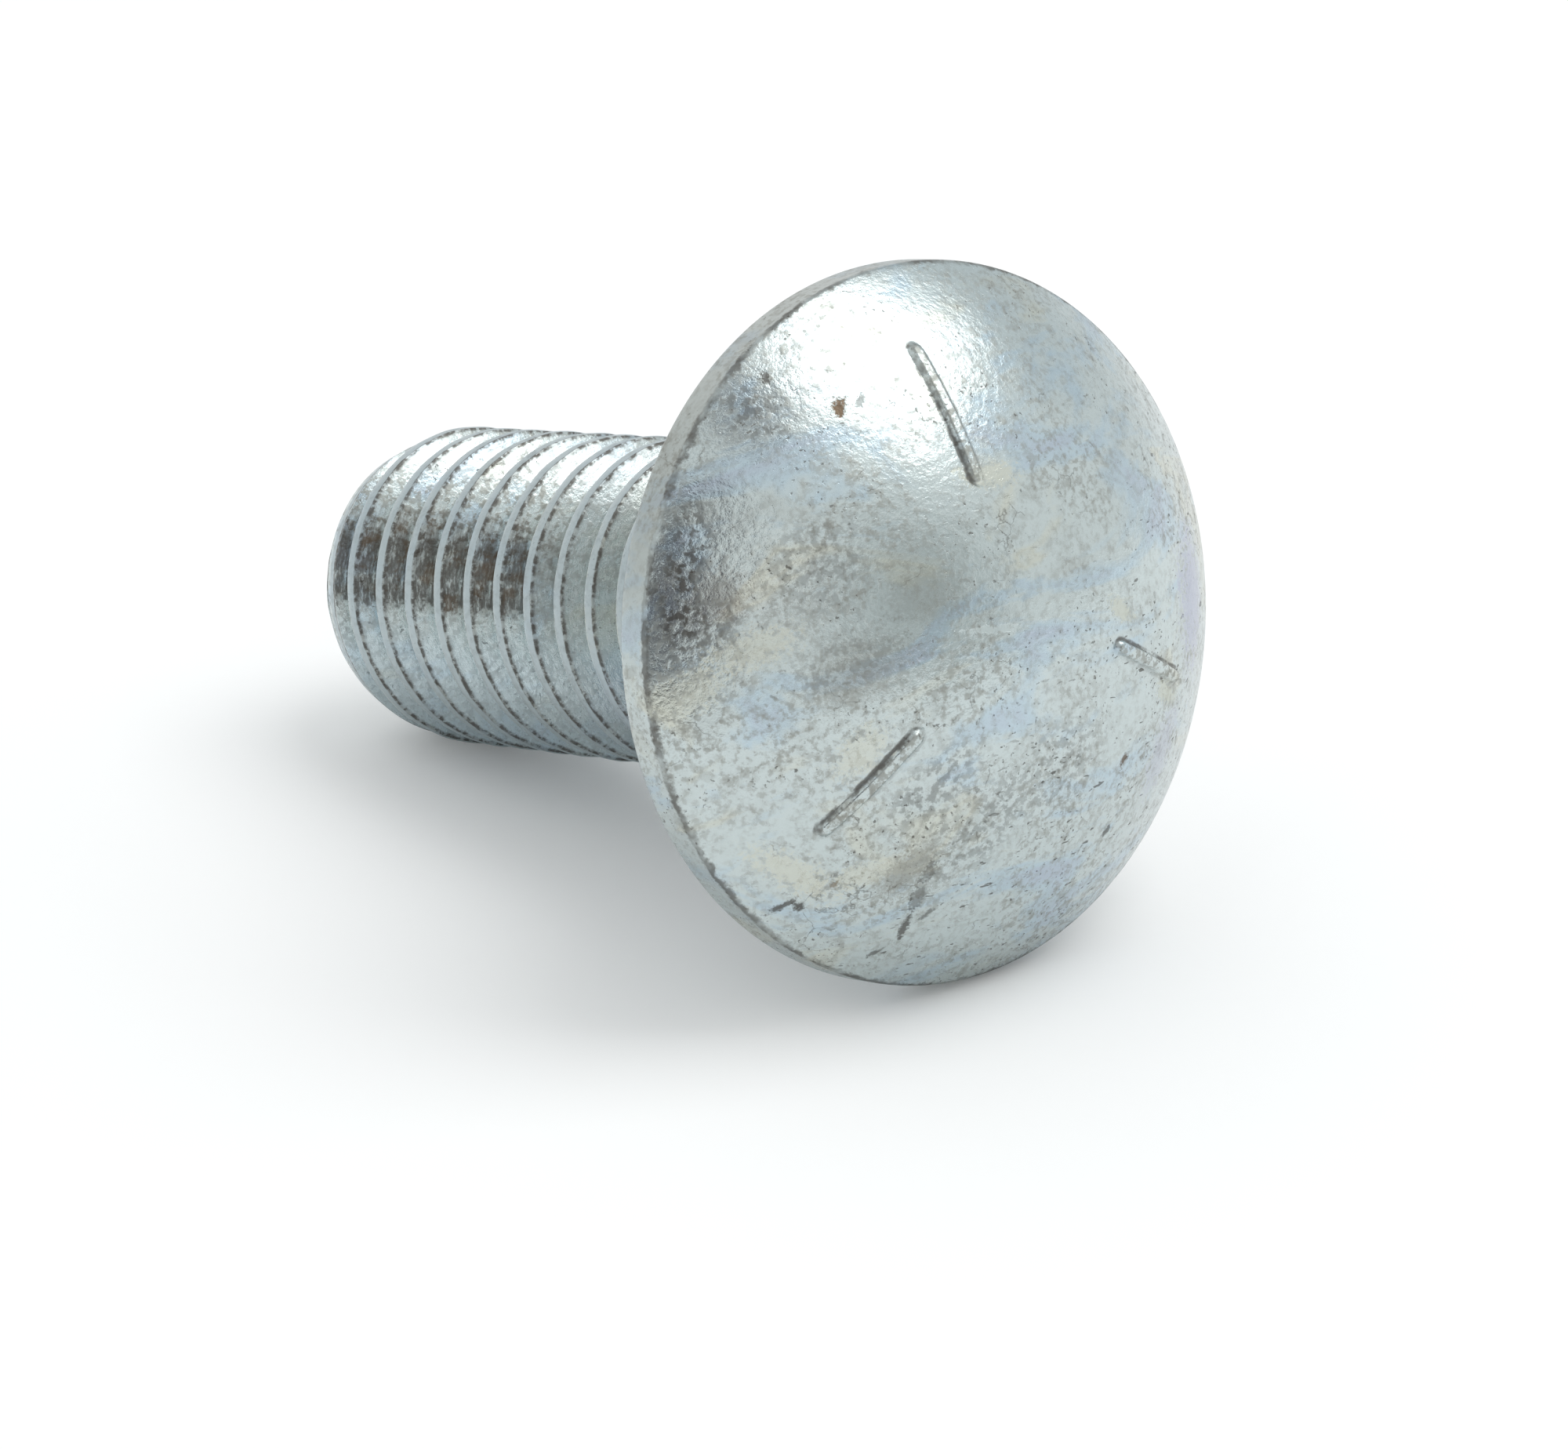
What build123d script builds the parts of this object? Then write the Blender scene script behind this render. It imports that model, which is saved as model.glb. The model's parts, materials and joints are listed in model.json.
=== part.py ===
from build123d import *
import math
import os

# A round-head square-neck bolt, forged and rolled in one piece. Millimetres and degrees.
# The bolt's own frame: +Z along its axis towards the dome, with the underside of the head at zero.

# Head
head_diameter = 26.2
rim_height = 1.5
rim_edge_radius = 0.3  # where the rim meets the dome
rim_foot_chamfer = 0.3
dome_height = 5.95

# Grade ribs, raised on the dome by the heading die
rib_length = 4.3
rib_width = 0.62
rib_height = 0.22
rib_angles = (97.0, 209.0, 337.0)
rib_middle_shares = (0.62, 0.61, 0.48)  # of the head's radius

# Square neck
neck_across_flats = 12.8
neck_depth = 6.5
neck_corner_radius = 1.2
neck_root_radius = 0.6
neck_lead_angle = 45.0

# Plain body between the neck and the thread
body_diameter = 12.6
body_length = 1.7

# Rolled thread, drawn plain at its crests
thread_diameter = 12.5
runout_length = 1.6

# Point at the end of the thread
bolt_length = 30.8  # from the underside of the head
point_taper_length = 2.3
point_taper_angle = 18.0
point_chamfer_length = 1.2
point_chamfer_angle = 45.0

# Every cutting or joining piece runs past its neighbour by this much
overrun = 0.5

head_radius = head_diameter / 2
dome_radius = (head_radius**2 + dome_height**2) / (2 * dome_height)
dome_centre = rim_height + dome_height - dome_radius
body_radius = body_diameter / 2
body_end = neck_depth + body_length
thread_radius = thread_diameter / 2
point_length = point_taper_length + point_chamfer_length


def slope(angle):
    return math.tan(math.radians(angle))


def turned(outline):
    """A solid of revolution about the bolt's axis, from an outline given as radius and height."""
    return revolve(Plane.YZ * outline, Axis.Z)


def rim_corners(outline):
    """The corners of the head's outline that lie on the rim, from its foot up."""
    return outline.vertices().group_by(Axis.X)[-1].sort_by(Axis.Y)


def head():
    """A spherical dome on a short upright rim with eased edges."""
    rim_foot = (head_radius, 0)
    rim_top = (head_radius, rim_height)
    apex = (0, rim_height + dome_height)
    outline = make_face(
        Polyline((0, 0), rim_foot, rim_top)
        + RadiusArc(rim_top, apex, -dome_radius)
        + Line(apex, (0, 0))
    )
    outline = chamfer(rim_corners(outline)[0], rim_foot_chamfer)
    outline = fillet(rim_corners(outline)[-1], rim_edge_radius)
    return turned(outline)


def grade_ribs():
    """Short radial ribs that follow the dome, each standing proud by the rib height."""
    bar = extrude(SlotOverall(rib_length, rib_width), dome_height + rib_height)
    skin = Pos(0, 0, dome_centre) * Sphere(dome_radius + rib_height)
    return [
        Rot(0, 0, angle) * Pos(share * head_radius, 0, rim_height) * bar & skin
        for angle, share in zip(rib_angles, rib_middle_shares)
    ]


def square_neck():
    """The square that stops the bolt from turning, with its corners led in at the thread's side."""
    square = RectangleRounded(neck_across_flats, neck_across_flats, neck_corner_radius)
    foot = Pos(0, 0, -neck_depth - overrun)
    prism = extrude(foot * square, neck_depth + overrun)
    lead_slope = slope(neck_lead_angle)
    lead = foot * Cone(
        body_radius - overrun * lead_slope,
        body_radius + neck_depth * lead_slope,
        neck_depth + overrun,
        align=(Align.CENTER, Align.CENTER, Align.MIN),
    )
    return prism & lead


def headed_blank():
    """Head, ribs and neck, with a small radius where the neck meets the underside of the head."""
    blank = head() + square_neck()
    underside = blank.faces().filter_by(Plane.XY).sort_by(SortBy.AREA)[-1]
    blank = fillet(underside.inner_wires()[0].edges(), neck_root_radius)
    return blank + grade_ribs()


def shank():
    """Plain body and thread at its crests, tapered over the first threads and chamfered to a flat end."""
    taper_radius = thread_radius - point_taper_length * slope(point_taper_angle)
    end_radius = taper_radius - point_chamfer_length * slope(point_chamfer_angle)
    outline = Polyline(
        (0, overrun),
        (body_radius, overrun),
        (body_radius, -body_end),
        (thread_radius, -body_end - runout_length),
        (thread_radius, point_length - bolt_length),
        (taper_radius, point_chamfer_length - bolt_length),
        (end_radius, -bolt_length),
        (0, -bolt_length),
        close=True,
    )
    return turned(make_face(outline))


def lying(piece):
    """At rest on the foot of the rim and the shoulder of the point, over the middle of the floor."""
    shoulder = bolt_length - point_length
    tilt = math.atan2(head_radius - thread_radius, shoulder + rim_foot_chamfer)
    axis = (math.cos(tilt), 0, math.sin(tilt))
    resting = Plane(origin=(0, 0, 0), x_dir=(0, 1, 0), z_dir=axis) * piece
    box = resting.bounding_box()
    return Pos(-box.center().X, -box.center().Y, -box.min.Z) * resting


os.makedirs("parts", exist_ok=True)
carriage_bolt = lying(headed_blank() + shank())
carriage_bolt.label = "carriage_bolt"
export_step(carriage_bolt, "parts/carriage_bolt.step")
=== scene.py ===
import json
import math

import bmesh
import bpy
from bpy.props import FloatProperty, FloatVectorProperty, PointerProperty
from mathutils import Matrix, Vector, noise


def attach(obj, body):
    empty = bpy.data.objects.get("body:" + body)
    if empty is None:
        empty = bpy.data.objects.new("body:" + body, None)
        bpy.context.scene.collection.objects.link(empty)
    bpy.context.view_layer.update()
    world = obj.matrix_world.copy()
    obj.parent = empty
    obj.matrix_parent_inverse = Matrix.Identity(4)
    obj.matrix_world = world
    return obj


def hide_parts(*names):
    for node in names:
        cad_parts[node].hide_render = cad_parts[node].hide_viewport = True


bl_info = {
    "name": "Carriage bolt",
    "version": (1, 0, 0),
    "blender": (4, 5, 0),
    "location": "3D View > Sidebar > Bolt",
    "description": "A zinc-plated carriage bolt over its packed frame, in a pale studio",
    "category": "Object",
}

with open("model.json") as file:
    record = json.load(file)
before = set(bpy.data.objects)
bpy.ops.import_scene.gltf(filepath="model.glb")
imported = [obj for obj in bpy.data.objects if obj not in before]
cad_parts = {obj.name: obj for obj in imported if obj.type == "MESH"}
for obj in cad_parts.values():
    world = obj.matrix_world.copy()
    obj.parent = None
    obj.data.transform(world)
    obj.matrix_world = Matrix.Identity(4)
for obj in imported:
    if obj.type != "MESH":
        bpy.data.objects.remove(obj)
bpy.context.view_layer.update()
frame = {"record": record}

NODE = "carriage_bolt"
PIECE = "zinc_plated_bolt"
MM = 0.001
WELD = 0.0005 * MM
TURN = 2 * math.pi
QUARTER = math.pi / 2
SHARP_ANGLE = math.radians(50)


def length(name, description, millimetres):
    """A length property whose default is given in millimetres."""
    return FloatProperty(
        name=name, description=description, default=millimetres * MM, min=0, unit="LENGTH", precision=5
    )


def angle(name, description, degrees):
    """An angle property whose default is given in degrees."""
    return FloatProperty(name=name, description=description, default=math.radians(degrees), unit="ROTATION")


def colour(name, description, value):
    """A linear colour property."""
    return FloatVectorProperty(
        name=name, description=description, default=value, size=3, min=0, max=1, subtype="COLOR"
    )


class BoltSizes(bpy.types.PropertyGroup):
    """Sizes of the bolt's forms, in the bolt's own frame."""

    head_diameter: length("Head diameter", "Across the rim of the head", 26.2)
    rim_height: length("Rim height", "From the underside to the foot of the dome", 1.5)
    rim_edge: length("Rim edge", "Radius of the rim's two edges", 0.3)
    dome_height: length("Dome height", "From the top of the rim to the apex", 5.95)
    rib_width: length("Rib width", "Across the foot of a raised grade rib", 0.62)
    rib_height: length("Rib height", "How far a rib stands off the dome", 0.2)
    neck_width: length("Neck width", "Across the flats of the square neck", 12.8)
    neck_depth: length("Neck depth", "From the underside of the head to the foot of the neck", 6.5)
    neck_corner: length("Neck corner", "Radius of the neck's long corners", 1.2)
    neck_root: length("Neck root", "Radius where the neck meets the underside", 0.6)
    body_diameter: length("Body diameter", "Across the plain body", 12.6)
    body_length: length("Body length", "From the neck to the run-out of the thread", 1.7)
    runout: length("Run-out", "Length over which the thread sinks into the body", 1.6)
    thread_diameter: length("Thread diameter", "Over the crests", 12.5)
    pitch: length("Pitch", "From crest to crest", 1.954)
    root_radius: length("Root radius", "Round at the bottom of the thread", 0.2)
    thread_start: length("Thread start", "From the underside to a crest, less whole pitches", 0.3)
    bolt_length: length("Bolt length", "From the underside of the head to the end", 30.8)
    taper_length: length("Taper length", "Along the axis, over the first threads", 2.3)
    taper_angle: angle("Taper angle", "Of the first threads to the axis", 18)
    chamfer_length: length("Chamfer length", "Along the axis, at the end", 1.2)
    chamfer_angle: angle("Chamfer angle", "Of the end's chamfer to the axis", 45)
    dimple: length("Dimple", "Depth of the hollow that rolling leaves in the end", 0.25)


class ZincFinish(bpy.types.PropertyGroup):
    """Colours of the plating and of what has settled on it, some also laid as painted shade."""

    silver: colour("Silver", "The plating where it is plain", (0.60, 0.67, 0.67))
    blue: colour("Blue", "The plating where its film turns blue", (0.53, 0.64, 0.70))
    cream: colour("Cream", "The plating where its film turns yellow", (0.65, 0.66, 0.57))
    # This colour is kept darker so that the violet patch by the right rim also stands for painted shade
    # there.
    lilac_and_shade: colour("Lilac", "The plating where its film turns violet", (0.47, 0.50, 0.60))
    # This colour is also laid as painted shade in patches on the dome and on the flanks nearest the head.
    dull_and_shade: colour("Dull", "The plating where it has gone matt", (0.30, 0.30, 0.27))
    # This colour is also laid as painted shade along the ribs' feet and as a painted dark reflection across
    # the thread's flanks.
    grime_and_shade: colour("Grime", "What has settled in pits, scratches and corners", (0.09, 0.08, 0.07))
    rust: colour("Rust", "Brown specks where the plating is broken", (0.15, 0.10, 0.06))


class StudioLight(bpy.types.PropertyGroup):
    """The camera's place and the strength of the light."""

    azimuth: angle("Azimuth", "Of the camera round the bolt, from the side", 50.57)
    elevation: angle("Elevation", "Of the camera above the floor", 22.71)
    distance: FloatProperty(
        name="Distance", description="From the camera to the head", default=0.2272, min=0, unit="LENGTH"
    )
    floor: colour("Floor", "The pale floor", (0.93, 0.93, 0.93))


def mount(name):
    """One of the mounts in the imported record."""
    return next(row for row in frame["record"]["mounts"] if row["name"] == name)


def bolt_frame():
    """From the bolt's own frame, +Z along its axis to the dome and the underside at zero, to the row's."""
    seat = mount("under_head_seat")
    axis = -Vector(seat["axis"])
    on_axis = Vector(mount("plain_body")["pos_m"])
    origin = on_axis + axis * (Vector(seat["pos_m"]) - on_axis).dot(axis)
    across = Vector((0, 1, 0))
    turn = Matrix((across, axis.cross(across), axis)).transposed()
    return Matrix.Translation(origin) @ turn.to_4x4()


def smooth_step(low, high, value):
    """From nought at low to one at high, with level ends."""
    t = min(max((value - low) / (high - low), 0), 1)
    return t * t * (3 - 2 * t)


def on_plan(radius, degrees):
    """The place at a radius and an angle round the bolt's axis."""
    turn = math.radians(degrees)
    return Vector((math.cos(turn), math.sin(turn))) * radius


class HeadForm:
    """The head's dome and rim, with the marks of forging and handling on the dome."""

    # Ribs and marks lie at a radius in millimetres and an angle in degrees, seen from the dome.
    RIBS = (((6.0, 100.0), (10.3, 95.5)), ((9.9, 211.4), (6.0, 204.7)), ((4.2, 339.0), (8.3, 334.6)))
    RIB_SECTORS = ((97.0, 6.0), (208.5, 6.5), (336.5, 8.0))
    # Shallow dents: radius, angle, half-width and depth in millimetres.
    DENTS = (
        (9.6, -121.5, 0.75, 0.07),
        (10.95, -117.5, 0.35, 0.05),
        (7.2, -54.0, 0.28, 0.04),
        (9.0, -67.0, 0.25, 0.04),
        (2.3, 165.0, 0.9, 0.02),
        (11.2, 150.0, 1.6, 0.06),
        (10.6, 172.0, 1.7, 0.05),
    )
    # Steps of the mesh: round the axis by a rib and elsewhere, and along the half section.
    FINE_STEP = math.radians(0.35)
    COARSE_STEP = math.radians(1.0)
    INNER_STEPS = 12
    OUTER_STEPS = 84
    INNER_SHARE = 0.25
    EDGE_STEPS = 5
    # Where the underside's rings end, as a share of the head's radius.
    UNDERSIDE_SHARE = 0.74
    # Width of a rib's sloping side in millimetres.
    RIB_EDGE = 0.16
    # The dome's marks fade out over these distances from the rim, in radii of the rim's edge.
    MARK_FADE = (1, 4)
    # Noise per millimetre and its height in millimetres.
    SWELL = (0.30, 0.03)
    RIPPLE = (0.85, 0.006)

    def __init__(self, sizes):
        self.radius = sizes.head_diameter / 2
        self.rim_height = sizes.rim_height
        self.edge = sizes.rim_edge
        self.rib_half = sizes.rib_width / 2
        self.rib_height = sizes.rib_height
        rise = sizes.dome_height
        self.dome_radius = (self.radius**2 + rise**2) / (2 * rise)
        self.apex = sizes.rim_height + rise
        self.centre = self.apex - self.dome_radius
        reach = self.dome_radius - self.edge
        self.edge_centre = self.centre + math.sqrt(reach**2 - (self.radius - self.edge) ** 2)
        self.edge_angle = math.atan2(self.radius - self.edge, self.edge_centre - self.centre)

    def profile(self, bm):
        """The head's half section: dome, rounded edge, rim, rounded foot and underside; returns it."""

        def arc(start, centre, sweep, steps):
            spun = bmesh.ops.spin(
                bm, geom=[start], cent=centre, axis=(0, 1, 0), angle=sweep, steps=steps, use_merge=False
            )
            return next(item for item in spun["geom_last"] if isinstance(item, bmesh.types.BMVert))

        def run(start, end, steps):
            step = (Vector(end) - start.co) / steps
            for _ in range(steps):
                drawn = bmesh.ops.extrude_vert_indiv(bm, verts=[start])
                start = drawn["verts"][0]
                bmesh.ops.translate(bm, verts=[start], vec=step)
            return start

        inner = self.edge_angle * self.INNER_SHARE
        point = bm.verts.new((0, 0, self.apex))
        point = arc(point, (0, 0, self.centre), inner, self.INNER_STEPS)
        point = arc(point, (0, 0, self.centre), self.edge_angle - inner, self.OUTER_STEPS)
        edge_middle = self.radius - self.edge
        point = arc(point, (edge_middle, 0, self.edge_centre), QUARTER - self.edge_angle, self.EDGE_STEPS)
        point = run(point, (self.radius, 0, self.edge), self.EDGE_STEPS)
        point = arc(point, (edge_middle, 0, self.edge), QUARTER, self.EDGE_STEPS)
        run(point, (self.radius * self.UNDERSIDE_SHARE, 0, 0), self.EDGE_STEPS)
        return bm.verts[:] + bm.edges[:]

    def sectors(self):
        """Turns and steps that go once round, close together where a rib stands."""
        reached = 0
        for middle, half in self.RIB_SECTORS:
            yield math.radians(middle - half - reached), self.COARSE_STEP
            yield math.radians(2 * half), self.FINE_STEP
            reached = middle + half
        yield math.radians(360 - reached), self.COARSE_STEP

    def build(self, bm):
        """The head as a shell, open in the middle of its underside."""
        chain = self.profile(bm)
        for sweep, step in self.sectors():
            spun = bmesh.ops.spin(
                bm,
                geom=chain,
                cent=(0, 0, 0),
                axis=(0, 0, 1),
                angle=sweep,
                steps=round(sweep / step),
                use_merge=False,
            )
            chain = spun["geom_last"]
        bmesh.ops.remove_doubles(bm, verts=bm.verts, dist=WELD)

    def rib_distance(self, point):
        """From a point on the dome to the nearest rib's middle line, in plan."""
        plan = point.to_2d()
        nearest = self.radius
        for ends in self.RIBS:
            start, end = (on_plan(*place) * MM for place in ends)
            along = end - start
            part = min(max((plan - start).dot(along) / along.length_squared, 0), 1)
            nearest = min(nearest, (plan - start - along * part).length)
        return nearest

    def lift(self, point):
        """How far the forged surface stands off the true dome at a point, in metres."""
        place = point / MM
        swell_scale, swell_height = self.SWELL
        ripple_scale, ripple_height = self.RIPPLE
        height = swell_height * noise.noise(place * swell_scale)
        height += ripple_height * noise.noise(place * ripple_scale)
        for radius, turn, half, depth in self.DENTS:
            away = (place.to_2d() - on_plan(radius, turn)).length
            height -= depth * math.exp(-((away / half) ** 2))
        edge = self.RIB_EDGE * MM
        rib = smooth_step(self.rib_half, self.rib_half - edge, self.rib_distance(point))
        return height * MM + rib * self.rib_height

    def mark_dome(self, bm):
        """Moves the dome's vertices for ribs, dents and the swell of the forging."""
        middle = Vector((0, 0, self.centre))
        for vert in bm.verts:
            ray = vert.co - middle
            if vert.co.z > self.rim_height and ray.angle(Vector((0, 0, 1))) < self.edge_angle:
                inside = (self.radius - vert.co.to_2d().length) / self.edge
                vert.co += ray.normalized() * self.lift(vert.co) * smooth_step(*self.MARK_FADE, inside)


class ShankForm:
    """The rolled thread with its point and run-out, the plain body and the square neck."""

    STEPS = 160
    # Rows of vertices from the middle of a crest to the middle of a root, in pitches.
    ROW_SHARES = (0.0, 0.07, 0.11, 0.125, 0.145, 0.20, 0.27, 0.34, 0.40, 0.43, 0.465, 0.5)
    # Half of the crest's flat, in pitches, and how far its edges fall, in millimetres.
    CREST_SHARE = 0.125
    CREST_EASE = 0.04
    FLANK_ANGLE = math.radians(30)
    # The crest's raggedness: noise per millimetre, its height and the depth that it reaches to.
    RAGGED_SCALE = 0.9
    RAGGED_HEIGHT = 0.035 * MM
    RAGGED_DEPTH = 0.2 * MM
    NECK_RINGS = 7
    ROOT_RINGS = 5
    # A narrow flat ring round the neck's root, so that its rounding ends there.
    COLLAR = 0.3 * MM
    # Rings in the end: shares of its radius and of the hollow's depth.
    END_RINGS = ((0.95, 0.0), (0.86, 0.25), (0.66, 0.8), (0.34, 1.0))

    def __init__(self, sizes):
        self.sizes = sizes
        self.pitch = sizes.pitch
        self.crest_phase = -sizes.thread_start / sizes.pitch
        self.crest = sizes.thread_diameter / 2
        self.body = sizes.body_diameter / 2
        self.body_end = sizes.neck_depth + sizes.body_length
        self.half_neck = sizes.neck_width / 2
        self.crest_half = self.CREST_SHARE * self.pitch
        self.flank_slope = math.tan(self.FLANK_ANGLE)
        root = sizes.root_radius
        flank = self.pitch / 2 - self.crest_half - root * math.cos(self.FLANK_ANGLE)
        self.root_start = self.crest_half + flank
        self.root_centre = self.crest - flank / self.flank_slope + root * math.sin(self.FLANK_ANGLE)
        self.root = self.root_centre - root

    def thread_radius(self, offset):
        """The thread's radius at an axial distance from the middle of a crest."""
        if offset <= self.root_start:
            ease = self.CREST_EASE * MM * smooth_step(0, self.crest_half, offset)
            return self.crest - ease - max(offset - self.crest_half, 0) / self.flank_slope
        across = self.pitch / 2 - offset
        return self.root_centre - math.sqrt(max(self.sizes.root_radius**2 - across**2, 0))

    def square_radius(self, turn):
        """The rounded square's radius at an angle."""
        fold = abs((turn + QUARTER / 2) % QUARTER - QUARTER / 2)
        inner = self.half_neck - self.sizes.neck_corner
        if self.half_neck * math.tan(fold) <= inner:
            return self.half_neck / math.cos(fold)
        reach = inner * (math.cos(fold) + math.sin(fold))
        return reach + math.sqrt(reach**2 - 2 * inner**2 + self.sizes.neck_corner**2)

    def radius_at(self, turn, z):
        """The shank's radius at an angle and a height under the head."""
        s = self.sizes
        if z >= -s.neck_depth:
            # The square is led in at 45 degrees, so its cone gains as much radius as height.
            neck = min(self.square_radius(turn), self.body + (z + s.neck_depth))
            rise = max(z + s.neck_root, 0)
            return neck + s.neck_root - math.sqrt(s.neck_root**2 - min(rise, s.neck_root) ** 2)
        if z >= -self.body_end:
            return self.body
        phase = z / self.pitch - turn / TURN - self.crest_phase
        radius = self.thread_radius(abs(phase - round(phase)) * self.pitch)
        sunk = (-self.body_end - z) / s.runout
        radius = max(radius, self.body - (self.body - self.root) * sunk)
        above_end = z + s.bolt_length
        chamfered = self.end_radius() + above_end * math.tan(s.chamfer_angle)
        tapered = self.crest - (s.taper_length + s.chamfer_length - above_end) * math.tan(s.taper_angle)
        return min(radius, chamfered, max(tapered, 0))

    def end_radius(self):
        """The flat end's radius."""
        s = self.sizes
        taper = s.taper_length * math.tan(s.taper_angle)
        return self.crest - taper - s.chamfer_length * math.tan(s.chamfer_angle)

    def build(self, bm):
        """The shank as a shell with a closed end, open where it meets the head."""
        s = self.sizes
        rows = sorted({sign * row for row in self.ROW_SHARES for sign in (-1, 1)} - {-self.ROW_SHARES[-1]})
        turns = range(-math.ceil(s.bolt_length / self.pitch) - 2, 0)
        heights = [self.pitch * (turn + row + self.crest_phase) for turn in turns for row in rows]
        verts = [bm.verts.new((self.crest, 0, z)) for z in heights]
        edges = [bm.edges.new(pair) for pair in zip(verts, verts[1:])]
        bmesh.ops.spin(
            bm,
            geom=verts + edges,
            cent=(0, 0, 0),
            axis=(0, 0, 1),
            dvec=(0, 0, self.pitch / self.STEPS),
            angle=TURN,
            steps=self.STEPS,
            use_merge=False,
        )
        bmesh.ops.remove_doubles(bm, verts=bm.verts, dist=WELD)
        top = -s.neck_depth - s.body_length / 2
        for height, outward in ((top, 1), (-s.bolt_length, -1)):
            bmesh.ops.bisect_plane(
                bm,
                geom=bm.verts[:] + bm.edges[:] + bm.faces[:],
                plane_co=(0, 0, height),
                plane_no=(0, 0, outward),
                clear_outer=True,
            )
        self.shape(bm.verts)
        self.close_end(bm)
        self.raise_neck(bm, top)

    def shape(self, verts):
        """Sets each vertex to the shank's radius at its own place, with a ragged crest."""
        for vert in verts:
            turn = math.atan2(vert.co.y, vert.co.x)
            radius = self.radius_at(turn, vert.co.z)
            if vert.co.z < -self.body_end:
                near_crest = smooth_step(self.crest - self.RAGGED_DEPTH, self.crest, radius)
                ragged = noise.noise(vert.co / MM * self.RAGGED_SCALE)
                radius += near_crest * self.RAGGED_HEIGHT * ragged
            vert.co.xy = (radius * math.cos(turn), radius * math.sin(turn))

    def boundary(self, bm, height):
        """The open edges that lie at a height."""
        return [
            edge
            for edge in bm.edges
            if edge.is_boundary and all(abs(vert.co.z - height) < WELD for vert in edge.verts)
        ]

    def extend(self, bm, edges):
        """Draws a new ring out of a ring of edges; returns its edges and vertices."""
        drawn = bmesh.ops.extrude_edge_only(bm, edges=edges)["geom"]
        ring = [item for item in drawn if isinstance(item, bmesh.types.BMEdge) and item.is_boundary]
        return ring, [item for item in drawn if isinstance(item, bmesh.types.BMVert)]

    def close_end(self, bm):
        """The flat end with the shallow hollow that thread rolling leaves."""
        edges = self.boundary(bm, -self.sizes.bolt_length)
        size = 1
        depth = 0
        for shrink, sink in self.END_RINGS:
            edges, verts = self.extend(bm, edges)
            bmesh.ops.scale(bm, verts=verts, vec=(shrink / size, shrink / size, 1))
            bmesh.ops.translate(bm, verts=verts, vec=(0, 0, (sink - depth) * self.sizes.dimple))
            size = shrink
            depth = sink
        face = bmesh.ops.contextual_create(bm, geom=edges)["faces"]
        bmesh.ops.poke(bm, faces=face)

    def raise_neck(self, bm, start):
        """The body and the square neck, ring by ring up to the underside of the head."""
        s = self.sizes
        lead_end = self.square_radius(QUARTER / 2) - self.body - s.neck_depth
        rings = [-s.neck_depth]
        for low, high in ((-s.neck_depth, lead_end), (lead_end, -s.neck_root)):
            rings += [low + (high - low) * (i + 1) / self.NECK_RINGS for i in range(self.NECK_RINGS)]
        step = QUARTER / self.ROOT_RINGS
        rings += [-s.neck_root * (1 - math.sin((i + 1) * step)) for i in range(self.ROOT_RINGS)]
        edges = self.boundary(bm, start)
        for height in rings:
            edges, verts = self.extend(bm, edges)
            for vert in verts:
                vert.co.z = height
            self.shape(verts)
        _, verts = self.extend(bm, edges)
        for vert in verts:
            vert.co.xy += vert.co.xy.normalized() * self.COLLAR


def bolt_mesh(sizes):
    """The whole bolt as one closed mesh, lying in the row's frame."""
    head = HeadForm(sizes)
    bm = bmesh.new()
    head.build(bm)
    head.mark_dome(bm)
    shank = bmesh.new()
    ShankForm(sizes).build(shank)
    part = bpy.data.meshes.new("shank")
    shank.to_mesh(part)
    shank.free()
    bm.from_mesh(part)
    bpy.data.meshes.remove(part)
    open_edges = [edge for edge in bm.edges if edge.is_boundary]
    bmesh.ops.triangle_fill(bm, edges=open_edges, normal=(0, 0, -1), use_beauty=True)
    bmesh.ops.recalc_face_normals(bm, faces=bm.faces)
    bmesh.ops.transform(bm, matrix=bolt_frame(), verts=bm.verts)
    astray = [edge for edge in bm.edges if not edge.is_contiguous]
    if astray:
        raise RuntimeError(f"{len(astray)} edges of the bolt's mesh are open or turned against each other")
    mesh = bpy.data.meshes.new(PIECE)
    bm.to_mesh(mesh)
    bm.free()
    mesh.shade_smooth()
    mesh.set_sharp_from_angle(angle=SHARP_ANGLE)
    return mesh


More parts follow.
